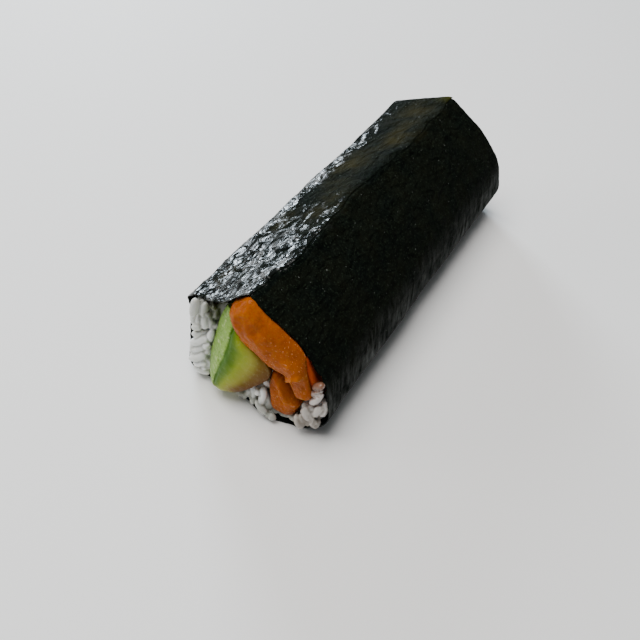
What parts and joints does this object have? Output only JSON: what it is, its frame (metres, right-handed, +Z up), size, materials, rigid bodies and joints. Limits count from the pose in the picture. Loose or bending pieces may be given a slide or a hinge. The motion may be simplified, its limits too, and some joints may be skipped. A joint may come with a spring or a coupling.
{
  "type": "temaki hand roll",
  "caption": "Open-ended hand roll of seaweed round rice, avocado slice and salmon strips, lying on its flat underside.",
  "frame": {"origin": "Centre of the underside of the bounding box, on the surface that the roll lies on.", "axes": "+Z up. The roll lies along Y, with the end that shows its filling towards -Y. The side with the lap on it is towards -X."},
  "size_m": [0.0388, 0.1112, 0.0333],
  "materials": {
    "nori": "black-green, finely mottled, matt with glossy crinkles where it is damp",
    "rice": "moist white, slightly see-through",
    "avocado": "soft, yellow-green with a dark green rim",
    "salmon": "wet, orange with pale fat lines"
  },
  "bodies": {
    "root": {"nori_wrap": "nori", "rice": "rice", "avocado": "avocado", "salmon_upper": "salmon", "salmon_lower": "salmon", "salmon_side": "salmon"}
  },
  "joints": []
}
